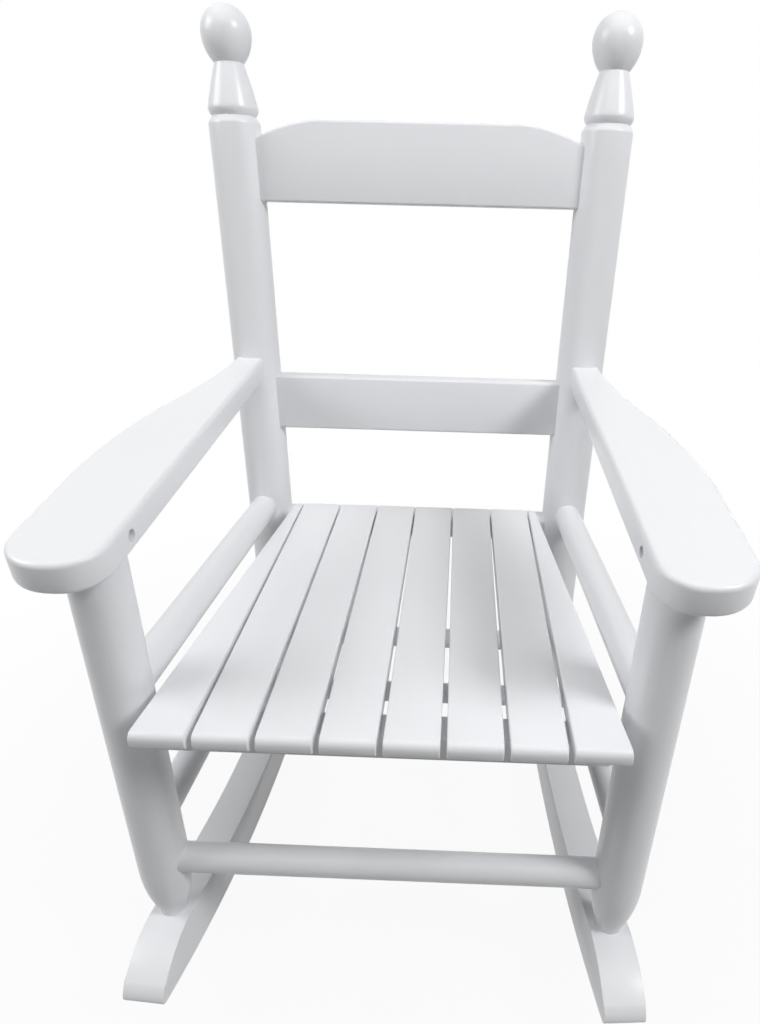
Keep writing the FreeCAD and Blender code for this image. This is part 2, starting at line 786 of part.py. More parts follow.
def batten(label, rear_station, rung_bar, half_length):
    """A cross strip under the slats, coped to the seat rung behind it."""
    strip = doc.addObject("Part::Box", label + "_strip")
    bind(strip, "Length", half_length * 2)
    bind(strip, "Width", dim("batten_width"))
    bind(strip, "Height", dim("batten_height"))
    front_station = rear_station - float(dim("batten_width"))
    corner = slat_underside + seat_back * front_station - seat_up * float(dim("batten_height"))
    strip.Placement = FreeCAD.Placement(corner - X_AXIS * float(half_length), seat_turn)
    return cut(label, strip, [rung_bar])


front_drop = (slat_underside - front_rung_axis).dot(seat_up) - float(dim("batten_height"))
front_reach = math.sqrt(max(cross_radius * cross_radius - front_drop * front_drop, ZERO))
front_batten_rear = seat_station_of(front_rung_axis) - front_reach + float(dim("batten_cope_depth"))
rear_batten_rear = seat_station_of(rear_rung_axis) - cross_radius + float(dim("batten_cope_depth"))
rear_batten_front = rear_batten_rear - float(dim("batten_width"))
front_half = batten_length / 2
rear_half = seat_half_rear - slat_pitch / 2
front_batten = batten("seat_batten_front_blank", front_batten_rear, front_seat_rung, front_half)
rear_batten = batten("seat_batten_rear_blank", rear_batten_rear, rear_seat_rung, rear_half)

front_screw_station = front_batten_rear - float(dim("batten_width")) / 2
rear_screw_station = rear_batten_front + float(dim("slat_rear_lap")) / 2
slat_end = rear_batten_front + float(dim("slat_rear_lap"))
slat_length = Size(slat_end, repr(slat_end))
screw_lift = float(dim("slat_screw_length")) - float(dim("batten_height"))


def slat_screw(name, x, station):
    """A screw up through a batten into a slat."""
    tip = slat_underside + seat_back * station + seat_up * screw_lift + X_AXIS * x
    return screw(name, tip, seat_up, float(dim("slat_screw_length")))


def slat_body(label, corners, tapered):
    """A slat with a rounded nose in front and eased upper edges. A tapered one has a round rear corner."""
    body, board = padded(label, corners, slat_thickness)
    top = float(slat_thickness)
    outer_x = max(abs(float(corner[0])) for corner in corners[2:])

    def is_rear_corner(edge):
        at_rear = middle_of(edge).y > slat_end - top
        return is_upright(edge) and at_rear and abs(middle_of(edge).x) > outer_x - float(dim("slat_rear_gap"))

    def is_nose(edge):
        return edge.BoundBox.XLength > edge.BoundBox.YLength and middle_of(edge).y < top

    def is_upper_side(edge):
        return edge.BoundBox.YLength > top and middle_of(edge).z > top / 2

    if tapered:
        board = eased(body, board, label + "_corner", dim("outer_slat_corner_radius"), is_rear_corner)
    nosed = eased(body, board, label + "_nose", dim("slat_nose_radius"), is_nose)
    eased(body, nosed, label + "_ease", dim("slat_edge_radius"), is_upper_side)
    return body


slat_screws = []
for number in range(1, SLAT_COUNT + 1):
    label = "seat_slat_%d" % number
    place = number - (SLAT_COUNT + 1) / 2
    centre = slat_pitch * place
    outer = number in (1, SLAT_COUNT)
    side = 1 if place > 0 else -1
    front_inner = centre - slat_front_half * side
    rear_inner = centre - slat_rear_half * side
    if outer:
        front_outer = front_inner + outer_front_width * side
        rear_outer = rear_inner + dim("outer_slat_rear_width") * side
    else:
        front_outer = centre + slat_front_half * side
        rear_outer = centre + slat_rear_half * side
    corners = [
        (front_inner, ZERO), (front_outer, ZERO), (rear_outer, slat_length), (rear_inner, slat_length),
    ]
    body = slat_body(label + "_board", corners, outer)
    body.Placement = FreeCAD.Placement(slat_underside, seat_turn)
    screw_x = float(front_inner + front_outer) / 2
    own_screws = [slat_screw(label + "_front_screw", screw_x, front_screw_station)]
    if not outer:
        own_screws.append(slat_screw(label + "_rear_screw", screw_x, rear_screw_station))
    slat_screws += own_screws
    named(cut(label, body, own_screws), label)

named(group("slat_screws", slat_screws), "slat_screws")
named(cut("seat_batten_front", front_batten, slat_screws), "seat_batten_front")
named(cut("seat_batten_rear", rear_batten, slat_screws), "seat_batten_rear")

# Build, check every piece and write it
doc.recompute()
for feature in doc.Objects:
    if "Invalid" in feature.State or "Error" in feature.State:
        raise RuntimeError("failed to build: " + feature.Name)
for node in nodes:
    if node.Shape.isNull() or not node.Shape.isValid() or not node.Shape.Solids:
        raise RuntimeError("bad shape: " + node.Label)
os.makedirs("parts", exist_ok=True)
for node in nodes:
    node.Shape.exportStep("parts/%s.step" % node.Label)
volume = sum(node.Shape.Volume for node in nodes)
balance = sum(((node.Shape.CenterOfGravity * node.Shape.Volume) for node in nodes), vector(ZERO, ZERO, ZERO))
balance = balance * (1 / volume)
print("%d nodes, centre of mass y %.1f z %.1f" % (len(nodes), balance.y, balance.z))
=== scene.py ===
"""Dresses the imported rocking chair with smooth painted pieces, and sets studio light and camera.

Lengths are in metres. X points to the right as seen from the front, Y to the back and Z up.
"""
from __future__ import annotations

import logging
import math
from dataclasses import dataclass
from enum import Enum
from typing import Callable, Iterable, Sequence

import bpy
from mathutils import Matrix, Vector


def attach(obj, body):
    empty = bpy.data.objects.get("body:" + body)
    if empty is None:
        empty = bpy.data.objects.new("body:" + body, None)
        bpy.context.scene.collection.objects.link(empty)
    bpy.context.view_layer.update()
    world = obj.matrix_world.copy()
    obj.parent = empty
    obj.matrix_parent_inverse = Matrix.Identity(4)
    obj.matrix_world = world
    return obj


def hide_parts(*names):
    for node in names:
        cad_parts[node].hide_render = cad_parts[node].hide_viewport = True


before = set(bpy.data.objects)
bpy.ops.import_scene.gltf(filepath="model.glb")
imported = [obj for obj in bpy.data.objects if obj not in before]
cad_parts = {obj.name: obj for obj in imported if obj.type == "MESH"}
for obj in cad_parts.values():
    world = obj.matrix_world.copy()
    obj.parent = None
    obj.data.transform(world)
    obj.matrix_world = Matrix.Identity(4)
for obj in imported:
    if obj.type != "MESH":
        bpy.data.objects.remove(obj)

log = logging.getLogger("rocking_chair")

BODY = "root"
Piece = bpy.types.Object
Flat = tuple[float, float]
Triple = tuple[float, float, float]
Colour = tuple[float, float, float, float]

WHITE: Colour = (1.0, 1.0, 1.0, 1.0)
# Corners closer than this are taken as one, and lines that differ by less as level.
WELD = 1e-5
LEVEL = 1e-4
# The arc round a corner that isn't quite square has a radius a little over the corner's size.
CORNER_STRETCH = 1.02


class Grain(Enum):
    """The way that the wood's grain runs, as the stretch of the pattern along each axis."""

    ACROSS = (0.05, 1.0, 1.0)
    DEEP = (1.0, 0.05, 1.0)
    UPRIGHT = (1.0, 1.0, 0.05)


class Bulge(Enum):
    """The side to which an arc bulges, as seen along its way."""

    LEFT = 1
    RIGHT = -1


# Shader nodes


class Wire:
    """A node's output socket, with arithmetic that adds Math nodes."""

    def __init__(self, bench: NodeBench, socket: bpy.types.NodeSocket | None) -> None:
        """Keeps the bench and the socket."""
        self.bench = bench
        self.socket = socket

    def _math(self, operation: str, other: Wire | float) -> Wire:
        """Adds a Math node for this value and another."""
        return self.bench.add("ShaderNodeMath", {"operation": operation}, {0: self, 1: other})

    def __add__(self, other: Wire | float) -> Wire:
        """Adds two values."""
        return self._math("ADD", other)

    __radd__ = __add__

    def __mul__(self, other: Wire | float) -> Wire:
        """Multiplies two values."""
        return self._math("MULTIPLY", other)

    __rmul__ = __mul__

    def larger(self, other: Wire | float) -> Wire:
        """The larger of two values."""
        return self._math("MAXIMUM", other)


class NodeBench:
    """A material's or a world's node tree, emptied and ready to be wired."""

    def __init__(self, tree: bpy.types.NodeTree) -> None:
        """Clears the tree."""
        self.tree = tree
        tree.nodes.clear()

    def add(self, kind: str, settings: dict[str, object] | None = None,
            inputs: dict[int | str, object] | None = None, output: int | str = 0) -> Wire:
        """Adds a node.

        Args:
            kind: The node's type.
            settings: Properties of the node, which are set first.
            inputs: Values or wires by socket name or number.
            output: The socket that the returned wire starts from.

        Returns:
            A wire from the node's output, without a socket where the node has none.
        """
        node = self.tree.nodes.new(kind)
        for name, value in (settings or {}).items():
            setattr(node, name, value)
        for name, value in (inputs or {}).items():
            if isinstance(value, Wire):
                self.tree.links.new(value.socket, node.inputs[name])
            else:
                node.inputs[name].default_value = value
        return Wire(self, node.outputs[output] if len(node.outputs) else None)

    def place(self) -> Wire:
        """The place on the object."""
        return self.add("ShaderNodeTexCoord", output="Object")

    def stretched(self, place: Wire, scale: Triple) -> Wire:
        """A place with each axis scaled."""
        return self.add("ShaderNodeMapping", {}, {"Vector": place, "Scale": scale})

    def noise(self, place: Wire, scale: float, detail: float = 2.0, roughness: float = 0.5) -> Wire:
        """A noise value at a place."""
        return self.add("ShaderNodeTexNoise", {}, {
            "Vector": place, "Scale": scale, "Detail": detail, "Roughness": roughness})

    def blend(self, share: Wire | float, first: object, second: object) -> Wire:
        """Mixes two colours by a share."""
        return self.add("ShaderNodeMix", {"data_type": "RGBA"}, {0: share, 6: first, 7: second}, output=2)

    def ranged(self, value: Wire, source: Flat, target: Flat) -> Wire:
        """A value moved from one range to another and kept inside it."""
        return self.add("ShaderNodeMapRange", {}, {
            0: value, 1: source[0], 2: source[1], 3: target[0], 4: target[1]})

    def bump(self, height: Wire, strength: float, distance: float) -> Wire:
        """A normal that follows a height."""
        return self.add("ShaderNodeBump", {}, {"Strength": strength, "Distance": distance, "Height": height})

    def principled(self, inputs: dict[int | str, object]) -> None:
        """Ends a material with a Principled shader."""
        shader = self.add("ShaderNodeBsdfPrincipled", {}, inputs)
        self.add("ShaderNodeOutputMaterial", {}, {"Surface": shader})


def new_material(name: str) -> tuple[bpy.types.Material, NodeBench]:
    """Makes a material with an empty node tree.

    Args:
        name: The material's name.

    Returns:
        The material, and the bench that wires it.
    """
    made = bpy.data.materials.new(name)
    made.use_nodes = True
    return made, NodeBench(made.node_tree)


# Finishes


@dataclass(frozen=True)
class Paint:
    """Satin white paint, sprayed on sanded wood whose grain shows faintly through it."""

    grain: Grain
    light: Colour = (0.868, 0.878, 0.896, 1.0)
    shade: Colour = (0.836, 0.846, 0.864, 1.0)
    streak: Colour = (0.800, 0.810, 0.828, 1.0)
    cloud_scale: float = 9.0
    fibre_scale: float = 210.0
    ring_scale: float = 46.0
    peel_scale: float = 640.0
    broad_detail: float = 3.0
    fibre_in_streaks: float = 0.6
    fibre_in_relief: float = 0.4
    streak_range: Flat = (0.52, 0.72)
    streak_share: float = 0.16
    roughness: float = 0.31
    cloud_roughness: float = 0.06
    peel_roughness: float = 0.02
    relief_strength: float = 0.02
    relief_depth: float = 0.0010
    refraction: float = 1.48

    def material(self) -> bpy.types.Material:
        """Builds the paint's nodes.

        Returns:
            The material.
        """
        made, bench = new_material("white_paint_" + self.grain.name.lower())
        place = bench.place()
        along = bench.stretched(place, self.grain.value)
        cloud = bench.noise(place, self.cloud_scale, self.broad_detail)
        fibre = bench.noise(along, self.fibre_scale)
        ring = bench.noise(along, self.ring_scale, self.broad_detail)
        peel = bench.noise(place, self.peel_scale)
        lines = fibre * self.fibre_in_streaks + ring * (1 - self.fibre_in_streaks)
        streaks = bench.ranged(lines, self.streak_range, (0.0, self.streak_share))
        coat = bench.blend(cloud, self.light, self.shade)
        # The noises lie about a half, so that half of their share comes off.
        smoothest = self.roughness - (self.cloud_roughness + self.peel_roughness) / 2
        relief = fibre * self.fibre_in_relief + ring * (1 - self.fibre_in_relief)
        bench.principled({
            "Base Color": bench.blend(streaks, coat, self.streak),
            "Roughness": cloud * self.cloud_roughness + peel * self.peel_roughness + smoothest,
            "Normal": bench.bump(relief, self.relief_strength, self.relief_depth),
            "IOR": self.refraction})
        return made


@dataclass(frozen=True)
class Steel:
    """Zinc plated steel of screws and pins, with a dull cloud and fine turning marks."""

    bright: Colour = (0.62, 0.62, 0.63, 1.0)
    dull: Colour = (0.42, 0.42, 0.44, 1.0)
    cloud_scale: float = 320.0
    cloud_detail: float = 4.0
    mark_scale: float = 900.0
    mark_stretch: Triple = (1.0, 1.0, 8.0)
    smoothest: float = 0.28
    cloud_roughness: float = 0.2
    relief_strength: float = 0.15
    relief_depth: float = 0.0003

    def material(self) -> bpy.types.Material:
        """Builds the steel's nodes.

        Returns:
            The material.
        """
        made, bench = new_material("zinc_steel")
        place = bench.place()
        cloud = bench.noise(place, self.cloud_scale, self.cloud_detail)
        marks = bench.noise(bench.stretched(place, self.mark_stretch), self.mark_scale)
        bench.principled({
            "Base Color": bench.blend(cloud, self.bright, self.dull),
            "Metallic": 1.0,
            "Roughness": cloud * self.cloud_roughness + self.smoothest,
            "Normal": bench.bump(marks, self.relief_strength, self.relief_depth)})
        return made


@dataclass(frozen=True)
class BareWood:
    """Unpainted beech of the hidden dowels."""

    pale: Colour = (0.66, 0.48, 0.30, 1.0)
    dark: Colour = (0.48, 0.32, 0.18, 1.0)
    fibre_scale: float = 420.0
    fibre_detail: float = 5.0
    fibre_fineness: float = 0.6
    smoothest: float = 0.5
    fibre_roughness: float = 0.2
    relief_strength: float = 0.2
    relief_depth: float = 0.0005

    def material(self) -> bpy.types.Material:
        """Builds the wood's nodes.

        Returns:
            The material.
        """
        made, bench = new_material("bare_beech")
        along = bench.stretched(bench.place(), Grain.DEEP.value)
        fibre = bench.noise(along, self.fibre_scale, self.fibre_detail, self.fibre_fineness)
        bench.principled({
            "Base Color": bench.blend(fibre, self.pale, self.dark),
            "Roughness": fibre * self.fibre_roughness + self.smoothest,
            "Normal": bench.bump(fibre, self.relief_strength, self.relief_depth)})
        return made


# Modelling by hand


def deselect() -> None:
    """Leaves edit mode and deselects every object."""
    active = bpy.context.view_layer.objects.active
    if active is not None and active.mode != "OBJECT":
        bpy.ops.object.mode_set(mode="OBJECT")
    bpy.ops.object.select_all(action="DESELECT")


def pick(piece: Piece) -> None:
    """Makes a piece the only selected object."""
    deselect()
    piece.select_set(True)
    bpy.context.view_layer.objects.active = piece


def face_outwards() -> None:
    """Turns every face of the piece in edit mode outwards, and leaves edit mode."""
    bpy.ops.mesh.select_all(action="SELECT")
    bpy.ops.mesh.normals_make_consistent(inside=False)
    bpy.ops.object.mode_set(mode="OBJECT")


def trace(name: str, points: Sequence[Vector], closed: bool) -> Piece:
    """Draws edges from point to point.

    Args:
        name: The new piece's name.
        points: The corners, in order.
        closed: True to fill the outline with a face.

    Returns:
        The new piece.
    """
    deselect()
    bpy.ops.mesh.primitive_plane_add(size=1.0)
    piece = bpy.context.object
    piece.name = name
    bpy.ops.object.mode_set(mode="EDIT")
    bpy.ops.mesh.select_mode(type="VERT")
    bpy.ops.mesh.select_all(action="SELECT")
    bpy.ops.mesh.merge(type="CENTER")
    bpy.ops.transform.translate(value=points[0])
    for here, there in zip(points, points[1:]):
        bpy.ops.mesh.extrude_vertices_move(TRANSFORM_OT_translate={"value": there - here})
    if closed:
        bpy.ops.mesh.select_all(action="SELECT")
        bpy.ops.mesh.edge_face_add()
    bpy.ops.object.mode_set(mode="OBJECT")
    return piece


def lathe(name: str, profile: Sequence[Flat], steps: int) -> Piece:
    """Turns a half profile about the Z axis.

    Args:
        name: The new piece's name.
        profile: Radius and height of each corner, from the lower to the upper end.
        steps: How many faces go round.

    Returns:
        The new piece.
    """
    piece = trace(name, [Vector((radius, 0.0, height)) for radius, height in profile], closed=False)
    bpy.ops.object.mode_set(mode="EDIT")
    bpy.ops.mesh.select_all(action="SELECT")
    bpy.ops.mesh.spin(steps=steps, angle=2 * math.pi, center=(0, 0, 0), axis=(0, 0, 1))
    bpy.ops.mesh.select_all(action="SELECT")
    bpy.ops.mesh.remove_doubles(threshold=WELD)
    face_outwards()
    return piece


def board(name: str, outline: Sequence[Flat], thickness: float) -> Piece:
    """Cuts a board from an outline in the XY plane.

    Args:
        name: The new piece's name.
        outline: The corners, in order.
        thickness: How far the board reaches up from that plane.

    Returns:
        The new piece.
    """
    piece = trace(name, [Vector((x, y, 0.0)) for x, y in outline], closed=True)
    bpy.ops.object.mode_set(mode="EDIT")
    bpy.ops.mesh.select_all(action="SELECT")
    bpy.ops.mesh.extrude_region_move(TRANSFORM_OT_translate={"value": (0.0, 0.0, thickness)})
    face_outwards()
    return piece


def round_edges(piece: Piece, radius: float, chosen: Callable[[Vector, Vector], bool],
                segments: int) -> None:
    """Bevels chosen edges in edit mode.

    Args:
        piece: The piece.
        radius: How far the round reaches.
        chosen: A test on an edge's two ends.
        segments: Faces across the round.
    """
    pick(piece)
    bpy.ops.object.mode_set(mode="EDIT")
    bpy.ops.mesh.select_mode(type="EDGE")
    bpy.ops.mesh.select_all(action="DESELECT")
    bpy.ops.object.mode_set(mode="OBJECT")
    corners = piece.data.vertices
    for edge in piece.data.edges:
        edge.select = chosen(corners[edge.vertices[0]].co, corners[edge.vertices[1]].co)
    bpy.ops.object.mode_set(mode="EDIT")
    bpy.ops.mesh.bevel(offset=radius, segments=segments, profile=0.5, affect="EDGES")
    bpy.ops.object.mode_set(mode="OBJECT")


def apply_modifier(piece: Piece, kind: str, settings: dict[str, object]) -> None:
    """Adds a modifier with its settings and applies it."""
    pick(piece)
    modifier = piece.modifiers.new(kind.lower(), kind)
    for name, value in settings.items():
        setattr(modifier, name, value)
    bpy.ops.object.modifier_apply(modifier=modifier.name)


def ease(piece: Piece, radius: float, segments: int, angle: float = math.radians(50)) -> None:
    """Rounds every edge that is sharper than an angle."""
    apply_modifier(piece, "BEVEL", {
        "width": radius, "segments": segments, "limit_method": "ANGLE", "angle_limit": angle,
        "harden_normals": False})


def drill(piece: Piece, start: Vector, way: Vector, radius: float, sides: int = 32) -> None:
    """Takes a round hole out of a piece, along a way from its start."""
    deselect()
    bpy.ops.mesh.primitive_cylinder_add(
        vertices=sides, radius=radius, depth=way.length, location=start + way / 2,
        rotation=way.to_track_quat("Z", "Y").to_euler())
    tool = bpy.context.object
    apply_modifier(piece, "BOOLEAN", {"operation": "DIFFERENCE", "object": tool, "solver": "EXACT"})
    bpy.data.objects.remove(tool)


def put(piece: Piece, matrix: Matrix) -> None:
    """Moves a piece to its place and applies that to its mesh."""
    pick(piece)
    piece.matrix_world = matrix
    bpy.ops.object.transform_apply(location=True, rotation=True, scale=True)


def twin(piece: Piece, name: str) -> Piece:
    """Copies a piece to the other side of the chair.

    Args:
        piece: The piece to copy.
        name: The copy's name.

    Returns:
        The copy, with its own mesh.
    """
    pick(piece)
    bpy.ops.object.duplicate()
    other = bpy.context.object
    other.name = name
    other.scale.x = -1.0
    bpy.ops.object.transform_apply(location=True, rotation=True, scale=True)
    bpy.ops.object.mode_set(mode="EDIT")
    face_outwards()
    return other


def smooth(piece: Piece, angle: float = math.radians(32)) -> None:
    """Shades a piece smooth, apart from edges sharper than an angle."""
    pick(piece)
    bpy.ops.object.shade_smooth_by_angle(angle=angle)


def dress(piece: Piece, node: str, material: bpy.types.Material) -> None:
    """Gives a finished piece its paint and makes it stand for its node.

    Args:
        piece: The finished piece.
        node: The node that it stands for.
        material: Its finish.
    """
    smooth(piece)
    piece.data.materials.clear()
    piece.data.materials.append(material)
    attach(piece, BODY)
    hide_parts(node)
    log.info("%s stands for %s, %d faces", piece.name, node, len(piece.data.polygons))


def dress_pair(right: Piece, role: str, make: str, material: bpy.types.Material) -> None:
    """Copies a right piece to the left and dresses both.

    Args:
        right: The finished right piece.
        role: The start of both nodes' names.
        make: The end of the left piece's name.
        material: Their finish.
    """
    left = twin(right, role + "_left_" + make)
    dress(right, role + "_right", material)
    dress(left, role + "_left", material)


def sweep(start: Flat, end: Flat, radius: float, steps: int, bulge: Bulge = Bulge.RIGHT) -> list[Flat]:
    """Points along an arc after its start.

    Args:
        start: Where the arc starts.
        end: Where it ends.
        radius: Its radius.
        steps: How many points.
        bulge: The side to which it bulges.

    Returns:
        The points, the last of which is the end.
    """
    first, last = Vector(start), Vector(end)
    chord = last - first
    left = Vector((-chord.y, chord.x)).normalized()
    height = math.sqrt(radius * radius - chord.length_squared / 4)
    centre = (first + last) / 2 - left * (bulge.value * height)
    spread = 2 * math.asin(chord.length / 2 / radius)
    points = []
    for step in range(1, steps + 1):
        turn = Matrix.Rotation(-bulge.value * spread * step / steps, 2)
        points.append(tuple(centre + turn @ (first - centre)))
    return points


def swell_radius(swell: float, run: float) -> float:
    """The radius of an arc that gains a swell over a run and ends in line with the run."""
    return (swell ** 2 + run ** 2) / (2 * swell)


# The chair's lines


@dataclass(frozen=True)
class Axis:
    """A straight axis through a point."""

    point: Vector
    way: Vector

    def at_height(self, height: float) -> Vector:
        """The point of the axis at a height."""
        return self.point + self.way * ((height - self.point.z) / self.way.z)


@dataclass(frozen=True)
class Lines:
    """The axes and planes that the sub-assemblies share."""

    seat_height: float = 0.256
    seat_front: float = 0.207
    seat_slope: float = math.radians(2.2)
    rear_spacing: float = 0.271
    rear_setback: float = 0.1055
    rear_rake: float = math.radians(5.33)
    rear_flare: float = math.radians(0.81)
    rear_radius: float = 0.019
    front_spacing: float = 0.3028
    front_lead: float = 0.165
    front_rake: float = math.radians(3.42)
    front_flare: float = math.radians(0.76)
    front_radius: float = 0.016
    rocker_radius: float = 0.620
    rocker_depth: float = 0.036
    slat_thickness: float = 0.011
    arm_slope: float = math.radians(3.05)
    arm_thickness: float = 0.018
    arm_front: float = 0.2005
    arm_top_front: float = 0.354
    arm_inner_margin: float = 0.0056
    pin_radius: float = 0.0034
    pin_recess: float = 0.007
    pin_setback: float = 0.001
    pin_height: float = 0.009
    foot_rounds: int = 8

    def rear_axis(self) -> Axis:
        """The right rear post's axis."""
        way = Vector((math.tan(self.rear_flare), math.tan(self.rear_rake), 1.0)).normalized()
        return Axis(Vector((self.rear_spacing / 2, self.rear_setback, self.seat_height)), way)

    def front_axis(self) -> Axis:
        """The right front post's axis."""
        way = Vector((math.tan(self.front_flare), math.tan(self.front_rake), 1.0)).normalized()
        return Axis(Vector((self.front_spacing / 2, -self.front_lead, self.seat_height)), way)

    def rocker_top(self, reach: float) -> float:
        """The height of a rocker's upper side at a distance from its lowest point."""
        inner = self.rocker_radius - self.rocker_depth
        return self.rocker_radius - math.sqrt(inner * inner - reach * reach)

    def foot(self, axis: Axis) -> Vector:
        """The point where a post's axis meets the upper side of its rocker, closed in on by rounds."""
        point = axis.at_height(self.rocker_depth)
        for _ in range(self.foot_rounds):
            point = axis.at_height(self.rocker_top(point.y))
        return point

    def seat_matrix(self) -> Matrix:
        """The place of the slats: their undersides in the XY plane, their front ends on the X axis."""
        turn = Matrix.Rotation(-self.seat_slope, 4, "X")
        edge = Vector((0.0, -self.seat_front, self.seat_height))
        return Matrix.Translation(edge) @ turn @ Matrix.Translation((0.0, 0.0, -self.slat_thickness))

    def arm_matrix(self) -> Matrix:
        """The place of the right arm: its underside in the XY plane, its inner front corner at the origin."""
        post = self.front_axis().at_height(self.arm_top_front - self.arm_thickness / 2)
        inner = post.x - self.front_radius - self.arm_inner_margin
        turn = Matrix.Rotation(self.arm_slope, 4, "X")
        corner = Matrix.Translation((inner, -self.arm_front, self.arm_top_front))
        return corner @ turn @ Matrix.Translation((0.0, 0.0, -self.arm_thickness))

    def pin_hole(self) -> Vector:
        """The middle of the pin hole's mouth in the right arm's inner side."""
        arm = self.arm_matrix()
        level = (arm @ Vector((0.0, self.arm_front - self.front_lead, self.pin_height))).z
        return Vector((arm.translation.x, self.front_axis().at_height(level).y + self.pin_setback, level))


def aim(start: Vector, way: Vector) -> Matrix:
    """The place of a piece whose Z axis starts at a point and follows a way."""
    return Matrix.Translation(start) @ way.to_track_quat("Z", "Y").to_matrix().to_4x4()


# Sub-assemblies


@dataclass
class Posts:
    """The four turned posts."""

    lines: Lines
    paint: bpy.types.Material
    foot_radius: float = 0.009
    foot_depth: float = 0.020
    foot_neck: float = 0.004
    foot_taper: float = 0.040
    finial_rise: float = 0.3575
    ball_height: float = 0.0362
    ball_radius: float = 0.0178
    neck_radius: float = 0.0105
    bell_radius: float = 0.0183
    bell_height: float = 0.0286
    bell_curve: float = 0.2574
    bell_edge: float = 0.0062
    groove_radius: float = 0.01575
    groove_height: float = 0.005
    collar_height: float = 0.0044
    collar_edge: float = 0.0012
    collar_curve: float = 0.00384
    top_in_arm: float = 0.012
    faces_round: int = 72
    shaft_rings: int = 24
    foot_rings: int = 16
    collar_rings: int = 5
    bell_edge_rings: int = 10
    bell_rings: int = 14
    ball_lower_rings: int = 18
    ball_upper_rings: int = 22

    def _foot(self, radius: float) -> list[Flat]:
        """The profile of a bullet foot, from the end in the rocker to the full radius."""
        neck = (self.foot_radius, self.foot_depth + self.foot_neck)
        full = (radius, neck[1] + self.foot_taper)
        curve = swell_radius(radius - self.foot_radius, self.foot_taper)
        return [(0.0, 0.0), (self.foot_radius, 0.0), neck] + sweep(neck, full, curve, self.foot_rings)

    def _shaft(self, radius: float, low: float, high: float) -> list[Flat]:
        """Rings along a straight shaft."""
        rings = range(1, self.shaft_rings + 1)
        return [(radius, low + (high - low) * ring / self.shaft_rings) for ring in rings]

    def _rear_profile(self, top: float) -> list[Flat]:
        """The profile of a rear post: foot, shaft, collar, groove, bell and ball.

        Args:
            top: The post's whole length.

        Returns:
            Radius and height of each corner, from the foot up.
        """
        radius = self.lines.rear_radius
        ball = top - self.ball_height
        bell = ball - self.bell_height
        groove = bell - self.groove_height
        collar = groove - self.collar_height
        slope = (radius - self.groove_radius) / self.collar_height
        shoulder = (radius - self.collar_edge * slope, collar + self.collar_edge)
        girth = (self.ball_radius, top - self.ball_radius)
        ball_curve = swell_radius(self.ball_radius - self.neck_radius, self.ball_height - self.ball_radius)
        profile = self._foot(radius)
        profile += self._shaft(radius, profile[-1][1], collar - self.collar_edge)
        profile += sweep(profile[-1], shoulder, self.collar_curve, self.collar_rings)
        profile.append((self.groove_radius, groove))
        profile += sweep(profile[-1], (self.bell_radius, bell), self.bell_edge, self.bell_edge_rings)
        profile += sweep(profile[-1], (self.neck_radius, ball), self.bell_curve, self.bell_rings)
        profile += sweep(profile[-1], girth, ball_curve, self.ball_lower_rings)
        profile += sweep(profile[-1], (0.0, top), self.ball_radius, self.ball_upper_rings)
        return profile

    def rear(self) -> Piece:
        """Turns the right rear post.

        Returns:
            The post, with its finial.
        """
        axis = self.lines.rear_axis()
        base = self.lines.foot(axis) - axis.way * self.foot_depth
        top = (axis.point - base).length + self.finial_rise
        post = lathe("rear_post_right_turned", self._rear_profile(top), self.faces_round)
        put(post, aim(base, axis.way))
        return post

    def front(self) -> Piece:
        """Turns the right front post.

        Returns:
            The post, which ends inside the arm and has its share of the pin hole.
        """
        lines = self.lines
        axis = lines.front_axis()
        base = lines.foot(axis) - axis.way * self.foot_depth
        arm = lines.arm_matrix()
        up = arm.to_3x3() @ Vector((0.0, 0.0, 1.0))
        height = (arm.translation - base).dot(up) / axis.way.dot(up) + self.top_in_arm
        profile = self._foot(lines.front_radius)
        profile += self._shaft(lines.front_radius, profile[-1][1], height)
        profile.append((0.0, height))
        post = lathe("front_post_right_turned", profile, self.faces_round)
        put(post, aim(base, axis.way))
        drill(post, lines.pin_hole(), Vector((lines.pin_recess, 0.0, 0.0)), lines.pin_radius)
        return post

    def build(self) -> None:
        """Turns the posts and their twins and paints them."""
        for post, role in ((self.rear(), "rear_post"), (self.front(), "front_post")):
            dress_pair(post, role, "turned", self.paint)


